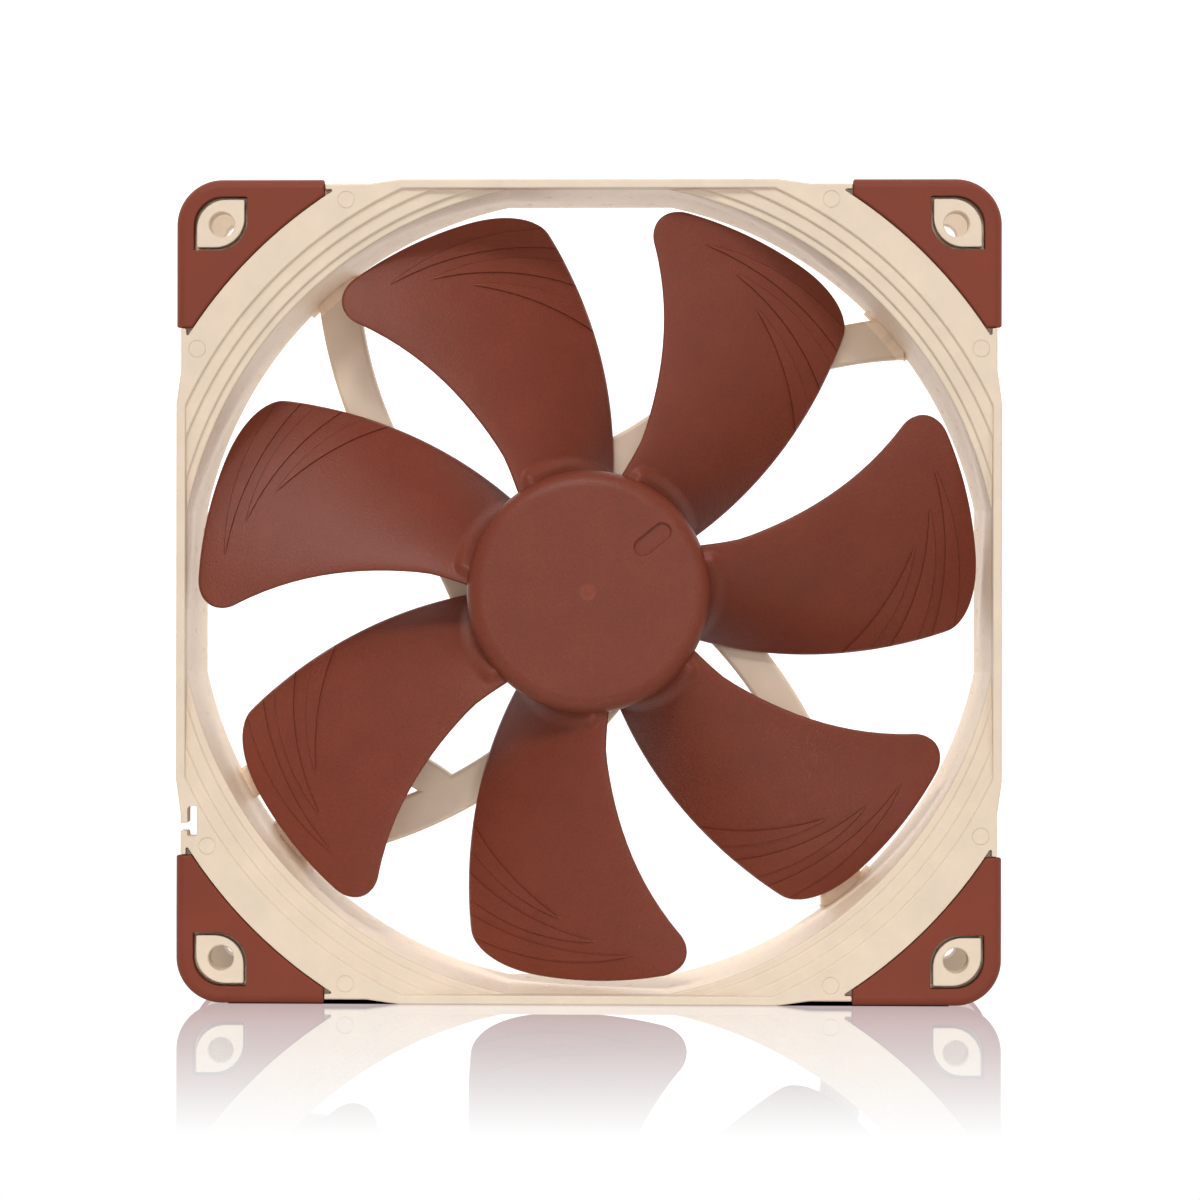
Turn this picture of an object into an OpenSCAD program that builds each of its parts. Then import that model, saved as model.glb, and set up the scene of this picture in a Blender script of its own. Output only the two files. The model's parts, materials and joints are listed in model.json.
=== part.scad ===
// Square axial case fan of the 140 mm class, 25 mm thick, with corner pads.
// The parts are drawn with the rotor axis along Z, the intake face at +Z and the
// exhaust face at -Z.  stand() then sets the fan on its lower edge, so that in the
// finished model the intake faces -Y, +X is to the right and +Z is up.  The origin
// is on the rotor axis, halfway between the two faces.

/* [Fan size] */
// Width and height of the fan
fan_w = 140; // [139:0.5:141]
// Thickness over the pads
fan_t = 25; // [24.6:0.1:25.4]
// Distance between mounting holes, both ways
hole_pitch = 124.5; // [124:0.1:125]
// Diameter of the mounting holes
hole_d = 4.3; // [4:0.1:4.8]

/* [Frame] */
// How far the pads stand proud of the frame, each side
pad_proud = 0.3; // [0.1:0.1:0.5]
// Thickness of the two flanges
flange_t = 4; // [3.6:0.1:4.4]
// Thickness of the duct wall
duct_wall = 2; // [1.6:0.1:2.2]
// Radius of the duct at the foot of the intake steps
duct_r_front = 69.95; // [69.8:0.05:70.1]
// Radius of the duct at the exhaust
duct_r_rear = 69.5; // [69.3:0.05:69.7]
// Half width between the straight side walls at the intake face
side_front = 68.62; // [68.5:0.02:68.7]
// Half width between the straight side walls at the exhaust face
side_rear = 68.0; // [67.9:0.02:68.1]
// Height of one intake step
step_h = 0.8; // [0.6:0.1:0.9]
// Rounding of the step edges
step_round = 0.4; // [0.3:0.05:0.4]

/* [Corner pads] */
// Length of a pad along each side of the fan
pad_len = 25.2; // [24.5:0.1:26]
// Thickness of a pad
pad_t = 2.1; // [1.8:0.1:2.3]
// Outer corner radius of a pad
pad_corner_r = 7.8; // [7:0.1:8.5]
// Radius of the concave inner edge of a pad, about the rotor axis
pad_arc_r = 80.8; // [80.6:0.1:81]
// Gap between a pad and the frame
pad_gap = 0.15; // [0.1:0.05:0.2]
// Width of the square boss round each hole
boss_w = 8.1; // [7.8:0.1:8.6]

/* [Struts and motor base] */
// Width of a strut
strut_w = 6.5; // [6:0.1:7]
// Depth of a strut
strut_t = 3.6; // [3:0.1:3.8]
// Radius of the curved middle line of a strut
strut_bend_r = 76.8; // [76:0.1:78]
// Radius of the motor base
base_r = 20.7; // [20.4:0.1:20.9]

/* [Impeller] */
// Number of blades
blades = 7; // [7]
// Radius of the hub
hub_r = 20.75; // [20.5:0.05:20.9]
// Tip radius at the leading corner
tip_r_lead = 67.1; // [66:0.1:67.2]
// Tip radius at the trailing corner
tip_r_trail = 67.5; // [66.8:0.1:67.6]
// Thickest blade section at the root
blade_t_root = 2.2; // [1.8:0.1:2.4]
// Thickest blade section at the tip
blade_t_tip = 1.3; // [1.1:0.1:1.5]

/* [Motor] */
// Diameter of the shaft
shaft_d = 3; // [3]
// Outer radius of the stator poles
stator_r = 15.5; // [15.3:0.1:15.6]
// Radial air gap between poles and magnet
air_gap = 0.4; // [0.3:0.05:0.5]

/* [Hidden] */
$fn = 96;

// Colours
beige = "#dbc7af";
brown = "#783a2a";
brass = "#c8a45a";
bronze = "#9a7448";
copper = "#b5622d";
steel = "#9fa3a8";
ferrite = "#3a3a3c";
board_green = "#1d5a3a";
nylon = "#e6e2d6";
black = "#202022";
solder = "#c9ccd0";

// Planes of the frame, front to back
half = fan_w / 2;
face_z = fan_t / 2;
frame_z = face_z - pad_proud;
pad_floor_z = face_z - pad_t;
flange_z = frame_z - flange_t;
duct_out_r = duct_r_front + duct_wall;
hole_off = hole_pitch / 2;
hole_r = hole_d / 2;

// Outline: full width in the middle of each side, stepped in towards the corners
side_inset = 0.8;
full_half_len = 31.9;
inset_half_len = 37.6;
frame_corner_r = pad_corner_r - side_inset;

// Notches past the ends of each pad: how far they may run, and the rim outside them
notch_len = 3;
notch_rim = 0.9;

// Lead-in at the mouth of each hole, and gap between a boss and the window in its pad
hole_lead = 0.18;
pad_window_gap = 0.5;
boss_round = 5;

// Intake steps, from the outermost edge inwards
step_radii = [75.3, 73.2, 71.0];
lip_z = frame_z - 3 * step_h;
exit_bevel = 0.4;

// Cable notch in the front flange, beside the lower left pad
notch_x = [-68.0, -66.3];
notch_y = [-41.6, -36.5];
notch_mouth_y = [-40.7, -39.4];

// Middle line of the strut at the upper right: an arc about this centre
strut_centre = [60.2, -31.6];
strut_from = 94;
strut_sweep = 50;
strut_round = 0.8;

// Cable arm beside the lower left strut
arm_centre = [-43.6, -56.7];
arm_r = [25.3, 31.0];
arm_t = 3.6;
arm_from = 42;
arm_sweep = 90;
arm_web_t = 1.2;
arm_web_r = 60;
arm_web_from = 208;
arm_web_w = 11;

// Motor base and bearing, heights along the axis
base_t = 1.8;
base_top_z = -frame_z + base_t;
base_rim_z = -8.6;
base_rim_in_r = 19.5;
boss_r = 5.2;
boss_top_z = 3.4;
tube_r = 4.0;
tube_in_r = 3.0;
tube_z = [-11.2, 5.8];
running_gap = 0.03;
sleeve_z = [-8.8, 5.0];
thrust_t = 0.5;
seal_z = [5.05, 5.75];
label_t = 0.2;
label_r = 16;
post_r = 1.2;
post_ring_r = 16.6;
outlet_w = 5.2;

// Stator
core_half_h = 3.2;
core_ring_r = 7.6;
neck_w = 4.6;
shoe_t = 1.7;
shoe_span = 76;
insulator_t = 0.9;
insulator_lip_h = 1.7;
coil_r = [8.2, 12.9];
coil_w = 9.0;
coil_half_h = 5.5;

// Circuit board
board_z = [-9.2, -8.1];
board_r = 18.9;
board_hole_r = 5.7;
pin_angles = [45, 135, 225];
pin_ring_r = 8.9;
pin_r = 0.35;
cable_pad_angle = 222;

// Rotor
hub_face_z = 11.3;
hub_edge_round = 3.0;
hub_top_t = 1.85;
hub_wall = 1.75;
hub_rear_z = -7.9;
hub_boss_r = 5.0;
hub_boss_z = 7.2;
yoke_gap = 0.05;
yoke_t = 0.8;
yoke_r = hub_r - hub_wall - yoke_gap;
yoke_z = [-7.0, hub_face_z - hub_top_t - yoke_gap];
magnet_out_r = yoke_r - yoke_t - 0.05;
magnet_z = [-6.4, 6.4];
magnet_in_r = stator_r + air_gap;
bushing_r = 3.3;
bushing_z = [6.6, 10.2];
shaft_r = shaft_d / 2;
shaft_z = [-10.6, 10.0];
clip_z = [-9.6, -9.2];
clip_r = 2.6;
groove_r = 1.2;
pocket_r = 14.1;
pocket_angle = 39;
pocket_len = 7;
pocket_w = 2.9;
pocket_deep = 0.8;

// Blade edges.  Angles are about the axis, counter-clockwise from +X, radii in mm.
blade_pitch = 360 / blades;
lead_angle_root = 70.7;
lead_sweep = 8.9;
lead_r = [28, 60];
trail_angle_root = 26.8;
trail_sweep = 0.43;
blade_root_r = 19.9;
lead_z = [8.2, 7.8];
trail_z = [-7.0, -6.2];
camber = 0.35;
lead_corner = [0.20, 6.5, 1.8];
trail_corner = [0.30, 5.0, 2.5];
chord_steps = 14;
span_steps = 9;

function mix(a, b, t) = a + (b - a) * t;
function arc_points(c, r, from, to, n) =
    [for (i = [0:n]) c + r * [cos(mix(from, to, i / n)), sin(mix(from, to, i / n))]];

// ---------------------------------------------------------------- helpers

module stand() rotate([90, 0, 0]) children();

module at_corners() for (a = [0:90:270]) rotate(a) children();

module tube(r_out, r_in, z) {
    translate([0, 0, z[0]]) difference() {
        cylinder(r = r_out, h = z[1] - z[0]);
        translate([0, 0, -1]) cylinder(r = r_in, h = z[1] - z[0] + 2);
    }
}

module disc(r, z) translate([0, 0, z[0]]) cylinder(r = r, h = z[1] - z[0]);

module rounded_square(w, r) {
    square([w, w - 2 * r], center = true);
    square([w - 2 * r, w], center = true);
    for (x = [-1, 1], y = [-1, 1]) translate([x, y] * (w / 2 - r)) circle(r = r);
}

// ---------------------------------------------------------------- frame

module frame_outline() {
    rounded_square(fan_w - 2 * side_inset, frame_corner_r);
    at_corners() polygon([
        [-inset_half_len, half - 8],
        [-inset_half_len, half - side_inset],
        [-full_half_len, half],
        [full_half_len, half],
        [inset_half_len, half - side_inset],
        [inset_half_len, half - 8]
    ]);
}

// Plan of the upper right pad, grown all round by g
module pad_plan(g) {
    difference() {
        intersection() {
            rounded_square(fan_w, pad_corner_r);
            translate([1, 1] * (half - pad_len - g)) square(pad_len + g + 1);
        }
        circle(r = pad_arc_r - g, $fn = 240);
    }
}

// Pocket for the upper right pad.  It runs on past the pad's ends as two small notches,
// which leave a narrow rim along the frame's edge.
module pocket_plan() {
    pad_plan(pad_gap);
    difference() {
        translate([1, 1] * (half - pad_len - notch_len))
            square(pad_len + notch_len - side_inset - notch_rim);
        circle(r = pad_arc_r - pad_gap, $fn = 240);
    }
}

// Leaf shape: a square with two opposite corners rounded, the inner and the outer one
module boss_plan(w) {
    r = boss_round;
    intersection() {
        square(w, center = true);
        translate([1, 1] * (w / 2 - r)) {
            circle(r = r);
            translate([-w, -2 * w]) square([2 * w, 2 * w]);
            translate([-2 * w, -w]) square([2 * w, 2 * w]);
        }
        translate([-1, -1] * (w / 2 - r)) {
            circle(r = r);
            translate([-w, 0]) square([2 * w, 2 * w]);
            translate([0, -w]) square([2 * w, 2 * w]);
        }
    }
}

// One corner's hole and its small lead-in at the face
module corner_hole() {
    over = 0.1;
    translate([hole_off, hole_off, flange_z - 1]) cylinder(r = hole_r, h = flange_t + 2);
    translate([hole_off, hole_off, frame_z - hole_lead])
        cylinder(r1 = hole_r, r2 = hole_r + hole_lead + over, h = hole_lead + over);
}

// One flange at the +Z side, as far in as the duct wall
module flange() {
    difference() {
        translate([0, 0, flange_z]) linear_extrude(flange_t) frame_outline();
        at_corners() {
            difference() {
                translate([0, 0, pad_floor_z]) linear_extrude(pad_t) pocket_plan();
                translate([hole_off, hole_off, flange_z]) linear_extrude(flange_t) boss_plan(boss_w);
            }
            corner_hole();
        }
    }
}

// Half section of the air passage: three rounded steps, the lip, the tapered duct
module passage_section() {
    e = step_round;
    top = frame_z + 1;
    polygon(concat(
        [[0, top], [step_radii[0] + e, top]],
        [for (i = [0:2]) each concat(
            arc_points([step_radii[i] + e, frame_z - i * step_h - e], e, 90, 180, 3),
            arc_points([step_radii[i] - e, frame_z - (i + 1) * step_h + e], e, 0, -90, 3)
        )],
        arc_points([duct_r_front + e, lip_z - e], e, 90, 180, 3),
        [
            [duct_r_rear, -frame_z + exit_bevel],
            [duct_r_rear + exit_bevel, -frame_z],
            [duct_r_rear + exit_bevel, -top],
            [0, -top]
        ]
    ));
}

// Space between the four straight side walls, with their moulding draft
module between_sides() {
    z = frame_z + 2;
    slope = (side_front - side_rear) / (2 * frame_z);
    far = 100;
    front = side_front + slope * 2;
    rear = side_rear - slope * 2;
    section = [[-front, z], [front, z], [rear, -z], [-rear, -z]];
    intersection() {
        rotate([90, 0, 0]) linear_extrude(2 * far, center = true) polygon(section);
        rotate([90, 0, 90]) linear_extrude(2 * far, center = true) polygon(section);
    }
}

// Cross-section of a strut: flat at the rear, rounded along its front edges
module strut_section(w, t, r) {
    translate([-w / 2, -frame_z]) square([w, t - r]);
    translate([-w / 2 + r, -frame_z]) square([w - 2 * r, t]);
    for (x = [-1, 1]) translate([x * (w / 2 - r), -frame_z + t - r]) circle(r = r, $fn = 32);
}

module struts() {
    intersection() {
        at_corners() translate(strut_centre)
            rotate_extrude(angle = strut_sweep, start = strut_from, $fn = 240)
                translate([strut_bend_r, 0]) strut_section(strut_w, strut_t, strut_round);
        disc(duct_out_r - 0.5, [-frame_z - 1, frame_z]);
    }
}

// Curved arm that holds the cable away from the blades, and the web behind it
module cable_arm() {
    mid = (arm_r[0] + arm_r[1]) / 2;
    intersection() {
        translate(arm_centre) rotate_extrude(angle = arm_sweep, start = arm_from, $fn = 180)
            translate([mid, 0]) strut_section(arm_r[1] - arm_r[0], arm_t, strut_round);
        disc(duct_out_r - 0.5, [-frame_z - 1, frame_z]);
    }
    intersection() {
        tube(duct_out_r - 0.5, arm_web_r, [-frame_z, -frame_z + arm_web_t]);
        rotate(arm_web_from) translate([50, 0, -20]) cube([30, arm_web_w, 30]);
    }
}

module cable_notch() {
    z0 = flange_z - 1;
    h = flange_t + 2;
    translate([notch_x[0], notch_y[0], z0]) cube([notch_x[1] - notch_x[0], notch_y[1] - notch_y[0], h]);
    translate([-half - 1, notch_mouth_y[0], z0])
        cube([notch_x[0] + half + 1.2, notch_mouth_y[1] - notch_mouth_y[0], h]);
}

module motor_base() {
    difference() {
        union() {
            difference() {
                disc(base_r, [-frame_z, base_rim_z]);
                disc(base_rim_in_r, [base_top_z, 0]);
            }
            disc(boss_r, [base_top_z - 0.5, boss_top_z]);
        }
        disc(tube_r, [tube_z[0], boss_top_z + 1]);
        disc(label_r + 0.1, [-frame_z - 1, -frame_z + label_t]);
        // outlet for the cable, through the rim towards the strut
        rotate(cable_pad_angle) translate([base_rim_in_r - 3, -outlet_w / 2, base_top_z])
            cube([6, outlet_w, 4]);
    }
    for (a = [0, 120, 240]) rotate(a + 30) translate([post_ring_r, 0, base_top_z - 0.5])
        cylinder(r = post_r, h = board_z[0] - base_top_z + 0.5, $fn = 32);
}

module frame() {
    color(beige) stand() {
        difference() {
            union() {
                intersection() {
                    disc(duct_out_r, [-frame_z, frame_z], $fn = 240);
                    translate([0, 0, -frame_z]) linear_extrude(2 * frame_z)
                        square(fan_w, center = true);
                }
                flange();
                mirror([0, 0, 1]) flange();
            }
            intersection() {
                rotate_extrude($fn = 240) passage_section();
                between_sides();
            }
            cable_notch();
        }
        difference() {
            union() {
                struts();
                cable_arm();
            }
            disc(base_r - 0.5, [-frame_z - 1, frame_z]);
        }
        motor_base();
    }
}

// ---------------------------------------------------------------- corner pads

// The four corners are numbered counter-clockwise from the upper right
module pad_at(corner, side) {
    color(brown) stand() mirror([0, 0, side < 0 ? 1 : 0]) rotate(corner * 90) difference() {
        translate([0, 0, pad_floor_z]) linear_extrude(pad_t) pad_plan(0);
        translate([hole_off, hole_off, pad_floor_z - 1]) linear_extrude(pad_t + 2)
            boss_plan(boss_w + 2 * pad_window_gap);
    }
}

// ---------------------------------------------------------------- bearing

module bearing_tube() color(brass) stand() tube(tube_r - 0.02, tube_in_r, tube_z);

module sleeve_bearing() {
    color(bronze) stand() tube(tube_in_r - 0.02, shaft_r + running_gap, sleeve_z);
}

module thrust_pad() color(black) stand() disc(tube_in_r - 0.1, [tube_z[0], tube_z[0] + thrust_t]);

module oil_seal() color(nylon) stand() tube(tube_in_r - 0.02, shaft_r + 0.15, seal_z);

// ---------------------------------------------------------------- stator

// Plan of the pole pieces: ring, four necks and four curved shoes
module stator_plan(shoe_out) {
    difference() {
        union() {
            circle(r = core_ring_r);
            at_corners() translate([core_ring_r - 1, -neck_w / 2])
                square([stator_r - core_ring_r, neck_w]);
            at_corners() intersection() {
                difference() {
                    circle(r = shoe_out);
                    circle(r = stator_r - shoe_t);
                }
                rotate(-shoe_span / 2) square(30);
                rotate(shoe_span / 2 - 90) square(30);
            }
        }
        circle(r = boss_r + 0.05);
    }
}

module stator_core() {
    color(steel) stand() translate([0, 0, -core_half_h])
        linear_extrude(2 * core_half_h) stator_plan(stator_r);
}

// Bobbin half on one end of the core, with lips that hold the windings in place
module insulator(side) {
    color(nylon) stand() mirror([0, 0, side < 0 ? 1 : 0]) {
        translate([0, 0, core_half_h]) linear_extrude(insulator_t) stator_plan(stator_r - 0.4);
        tube(core_ring_r, boss_r + 0.9, [core_half_h, core_half_h + insulator_t + insulator_lip_h]);
        intersection() {
            tube(stator_r - 0.4, stator_r - shoe_t, [core_half_h, core_half_h + insulator_t + insulator_lip_h]);
            for (a = [0:90:270]) rotate(a) translate([0, -4, 0]) cube([30, 8, 20]);
        }
    }
}

// One winding round one pole neck
module coil_at(i) {
    color(copper) stand() rotate(i * 90) difference() {
        translate([coil_r[0], -coil_w / 2, -coil_half_h])
            cube([coil_r[1] - coil_r[0], coil_w, 2 * coil_half_h]);
        translate([coil_r[0] - 1, -neck_w / 2 - 0.1, -core_half_h - insulator_t - 0.05])
            cube([coil_r[1] - coil_r[0] + 2, neck_w + 0.2, 2 * (core_half_h + insulator_t + 0.05)]);
        for (y = [-1, 1], z = [-1, 1]) translate([0, y * coil_w / 2, z * coil_half_h]) rotate([0, 90, 0])
            rotate(45) cube([1.6, 1.6, 60], center = true);
    }
}

// ---------------------------------------------------------------- circuit board

module circuit_board() {
    color(board_green) stand() difference() {
        tube(board_r, board_hole_r, board_z);
        for (a = pin_angles) rotate(a) translate([pin_ring_r, 0, board_z[0] - 1])
            cylinder(r = pin_r + 0.05, h = 4, $fn = 24);
    }
}

// Switching chip with its field sensor, under the magnet's edge
module driver_chip() {
    color(black) stand() rotate(90) {
        translate([15.4, -2.4, board_z[1]]) cube([3.2, 4.8, 1.1]);
    }
}

// Capacitors and resistors, one row each side of the chip
module board_components() {
    color(bronze) stand() {
        for (a = [50, 65, 115, 130, 305, 320]) rotate(a) translate([14.6, -0.8, board_z[1]])
            cube([2.0, 1.6, 0.8]);
        for (a = [0, 180]) rotate(a) translate([14.2, -1.6, board_z[1]]) cube([2.6, 3.2, 1.0]);
    }
}

module winding_pins() {
    color(solder) stand() for (a = pin_angles) rotate(a)
        translate([pin_ring_r, 0, board_z[0] - 0.5]) cylinder(r = pin_r, h = 4, $fn = 24);
}

// Four lands where the cable's wires are soldered
module cable_solder_pads() {
    color(solder) stand() rotate(cable_pad_angle) for (i = [0:3])
        translate([14.2, -3.15 + i * 1.8, board_z[1]]) cube([2.2, 0.9, 0.15]);
}

module rear_label() {
    color(steel) stand() disc(label_r, [-frame_z, -frame_z + label_t]);
}

// ---------------------------------------------------------------- impeller

function lead_angle(r) =
    lead_angle_root + lead_sweep * pow(max(0, r - lead_r[0]) / (lead_r[1] - lead_r[0]), 1.7);
function trail_angle(r) = trail_angle_root + trail_sweep * (r - blade_root_r);

// Drop of the tip at a rounded corner: x runs from 0 at the edge to 1 where the corner ends
function corner_drop(x, c) = x >= 1 ? 0 : c[1] * (1 - pow(1 - pow(1 - x, c[2]), 1 / c[2]));
function tip_r(u) = mix(tip_r_lead, tip_r_trail, u)
    - corner_drop(u / lead_corner[0], lead_corner)
    - corner_drop((1 - u) / trail_corner[0], trail_corner);

// Chord position u from 0 at the leading edge to 1 at the trailing edge
function span(r) = (r - blade_root_r) / (tip_r_trail - blade_root_r);
function blade_angle(u, r) = mix(lead_angle(r), trail_angle(r), u);
function blade_height(u, r) =
    let (fall = (1 - camber) * u + camber * u * u)
    mix(mix(lead_z[0], lead_z[1], span(r)), mix(trail_z[0], trail_z[1], span(r)), fall);
function chord_arc(r) = (lead_angle(r) - trail_angle(r)) * PI / 180 * r;
function blade_half_t(u, r) =
    let (t = mix(blade_t_root, blade_t_tip, span(r)) / 2)
    max(0.3, t * pow(4 * u * (1 - u), 0.35) * (1.15 - 0.45 * u)) / cos(atan(15 / chord_arc(r)));

function blade_point(u, v, side) =
    let (r = mix(blade_root_r, tip_r(u), v), a = blade_angle(u, r))
    [r * cos(a), r * sin(a), blade_height(u, r) + side * blade_half_t(u, r)];

module blade() {
    nu = chord_steps;
    nv = span_steps;
    us = [for (i = [0:nu]) (1 - cos(180 * i / nu)) / 2];
    rear = [for (i = [0:nu], j = [0:nv]) blade_point(us[i], j / nv, -1)];
    front = [for (i = [0:nu], j = [0:nv]) blade_point(us[i], j / nv, 1)];
    n = len(rear);
    k = nv + 1;
    skin = [for (i = [0:nu - 1], j = [0:nv - 1]) let (p = i * k + j)
        each [[p, p + k, p + 1], [p + 1, p + k, p + k + 1],
              [n + p, n + p + 1, n + p + k], [n + p + 1, n + p + k + 1, n + p + k]]];
    rims = [for (i = [0:nu - 1]) let (p = i * k, q = p + nv)
        each [[p, n + p, p + k], [n + p, n + p + k, p + k],
              [q, q + k, n + q], [n + q, q + k, n + q + k]]];
    edges = [for (j = [0:nv - 1]) let (p = j, q = nu * k + j)
        each [[p, p + 1, n + p], [n + p, p + 1, n + p + 1],
              [q, n + q, q + 1], [n + q, n + q + 1, q + 1]]];
    polyhedron(points = concat(rear, front), faces = concat(skin, rims, edges), convexity = 6);
}

// Half section of the hub: a cup with a rounded front edge
module hub_section() {
    e = hub_edge_round;
    polygon(concat(
        [[0, hub_face_z]],
        arc_points([hub_r - e, hub_face_z - e], e, 90, 0, 6),
        [
            [hub_r, hub_rear_z],
            [hub_r - hub_wall, hub_rear_z],
            [hub_r - hub_wall, hub_face_z - hub_top_t],
            [hub_boss_r, hub_face_z - hub_top_t],
            [hub_boss_r, hub_boss_z],
            [bushing_r + 0.02, hub_boss_z],
            [bushing_r + 0.02, bushing_z[1] + 0.02],
            [0, bushing_z[1] + 0.02]
        ]
    ));
}

module impeller() {
    color(brown) stand() {
        difference() {
            rotate_extrude() hub_section();
            // gate mark at the centre: a shallow ring round a small nub
            difference() {
                disc(1.5, [hub_face_z - 0.25, hub_face_z + 1]);
                disc(0.5, [hub_face_z - 1, hub_face_z - 0.05]);
            }
            // shallow oblong pocket, lengthwise along a radius
            rotate(pocket_angle) translate([pocket_r, 0, hub_face_z - pocket_deep]) {
                translate([-(pocket_len - pocket_w) / 2, -pocket_w / 2, 0])
                    cube([pocket_len - pocket_w, pocket_w, 2]);
                for (x = [-1, 1]) translate([x * (pocket_len - pocket_w) / 2, 0, 0])
                    cylinder(r = pocket_w / 2, h = 2);
            }
        }
        difference() {
            for (i = [0:blades - 1]) rotate(i * blade_pitch) blade();
            disc(hub_r - 0.6, [-20, 20]);
        }
    }
}

// ---------------------------------------------------------------- rotor

module rotor_yoke() {
    color(steel) stand() {
        tube(yoke_r, yoke_r - yoke_t, yoke_z);
        tube(yoke_r, hub_boss_r + 0.05, [yoke_z[1] - yoke_t, yoke_z[1]]);
    }
}

module rotor_magnet() color(ferrite) stand() tube(magnet_out_r, magnet_in_r, magnet_z);

module shaft_bushing() color(brass) stand() tube(bushing_r, shaft_r + 0.01, bushing_z);

module shaft() {
    tip = 0.4;
    color(solder) stand() rotate_extrude() polygon(concat(
        [[0, shaft_z[1]], [shaft_r - 0.2, shaft_z[1]], [shaft_r, shaft_z[1] - 0.2]],
        [[shaft_r, clip_z[1]], [groove_r, clip_z[1]], [groove_r, clip_z[0]], [shaft_r, clip_z[0]]],
        [[shaft_r, shaft_z[0] + tip], [shaft_r * 0.7, shaft_z[0] + tip / 3], [0, shaft_z[0]]]
    ));
}

module retaining_clip() {
    color(nylon) stand() difference() {
        tube(clip_r, groove_r + 0.02, clip_z + [0.02, -0.02]);
        translate([0, -0.5, clip_z[0] - 1]) cube([5, 1, 3]);
    }
}

// ---------------------------------------------------------------- assembly

frame();
pad_at(1, 1);  // intake_pad_top_left
pad_at(0, 1);  // intake_pad_top_right
pad_at(2, 1);  // intake_pad_bottom_left
pad_at(3, 1);  // intake_pad_bottom_right
pad_at(1, -1);  // exhaust_pad_top_left
pad_at(0, -1);  // exhaust_pad_top_right
pad_at(2, -1);  // exhaust_pad_bottom_left
pad_at(3, -1);  // exhaust_pad_bottom_right
bearing_tube();
sleeve_bearing();
thrust_pad();
oil_seal();
stator_core();
insulator(1);  // front_insulator
insulator(-1);  // rear_insulator
coil_at(0);  // coil_a
coil_at(1);  // coil_b
coil_at(2);  // coil_c
coil_at(3);  // coil_d
circuit_board();
driver_chip();
board_components();
winding_pins();
cable_solder_pads();
rear_label();
impeller();
rotor_yoke();
rotor_magnet();
shaft_bushing();
shaft();
retaining_clip();
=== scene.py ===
import json
import math

import bmesh
import bpy
import numpy as np
from mathutils import Matrix, Vector


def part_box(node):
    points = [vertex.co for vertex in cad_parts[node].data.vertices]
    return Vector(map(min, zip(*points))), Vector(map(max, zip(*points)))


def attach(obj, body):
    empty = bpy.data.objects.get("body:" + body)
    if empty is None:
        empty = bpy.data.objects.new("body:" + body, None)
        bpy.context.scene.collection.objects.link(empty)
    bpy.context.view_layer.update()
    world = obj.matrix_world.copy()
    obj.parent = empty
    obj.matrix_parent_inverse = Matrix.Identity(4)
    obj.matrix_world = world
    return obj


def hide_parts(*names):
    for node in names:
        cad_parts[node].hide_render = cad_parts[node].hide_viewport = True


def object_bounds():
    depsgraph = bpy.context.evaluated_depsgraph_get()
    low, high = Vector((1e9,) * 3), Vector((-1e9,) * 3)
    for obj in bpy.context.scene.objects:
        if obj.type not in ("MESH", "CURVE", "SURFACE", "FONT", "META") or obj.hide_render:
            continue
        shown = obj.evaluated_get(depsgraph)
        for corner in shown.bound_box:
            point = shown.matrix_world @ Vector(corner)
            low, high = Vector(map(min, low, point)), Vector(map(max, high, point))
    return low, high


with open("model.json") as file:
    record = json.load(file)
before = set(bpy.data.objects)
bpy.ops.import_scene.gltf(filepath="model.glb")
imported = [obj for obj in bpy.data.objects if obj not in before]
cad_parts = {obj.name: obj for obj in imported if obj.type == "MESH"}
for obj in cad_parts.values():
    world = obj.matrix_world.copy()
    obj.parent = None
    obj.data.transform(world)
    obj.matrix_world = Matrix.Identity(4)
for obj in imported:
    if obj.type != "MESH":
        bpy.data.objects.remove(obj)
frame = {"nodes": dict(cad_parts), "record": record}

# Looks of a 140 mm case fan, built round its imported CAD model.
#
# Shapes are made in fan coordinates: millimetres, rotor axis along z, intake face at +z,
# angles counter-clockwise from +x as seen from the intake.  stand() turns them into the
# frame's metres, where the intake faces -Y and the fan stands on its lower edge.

MM = 0.001
cad_low, cad_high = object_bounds()


# ------------------------------------------------------------------ sizes

def mount(name):
    return next(m for m in frame["record"]["mounts"] if m["name"] == name)


# From the frame
PAD_LOW, PAD_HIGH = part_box("intake_pad_top_right")
HALF = cad_high.x / MM                              # half the fan's width
FACE_Z = -cad_low.y / MM                            # outer face of the pads
FRAME_Z = -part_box("frame")[0].y / MM                # outer face of the flanges
PAD_START = PAD_LOW.x / MM                          # where a pad begins along a side
PAD_FLOOR_Z = -PAD_HIGH.y / MM                      # floor of the pockets for the pads
HUB_FACE_Z = -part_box("impeller")[0].y / MM          # front of the hub
LABEL_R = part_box("rear_label")[1].x / MM
HOLE_OFF = mount("intake_holes")["dims"]["spacing_x_mm"] / 2
HOLE_R = mount("intake_holes")["dims"]["hole_r_mm"]

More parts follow.
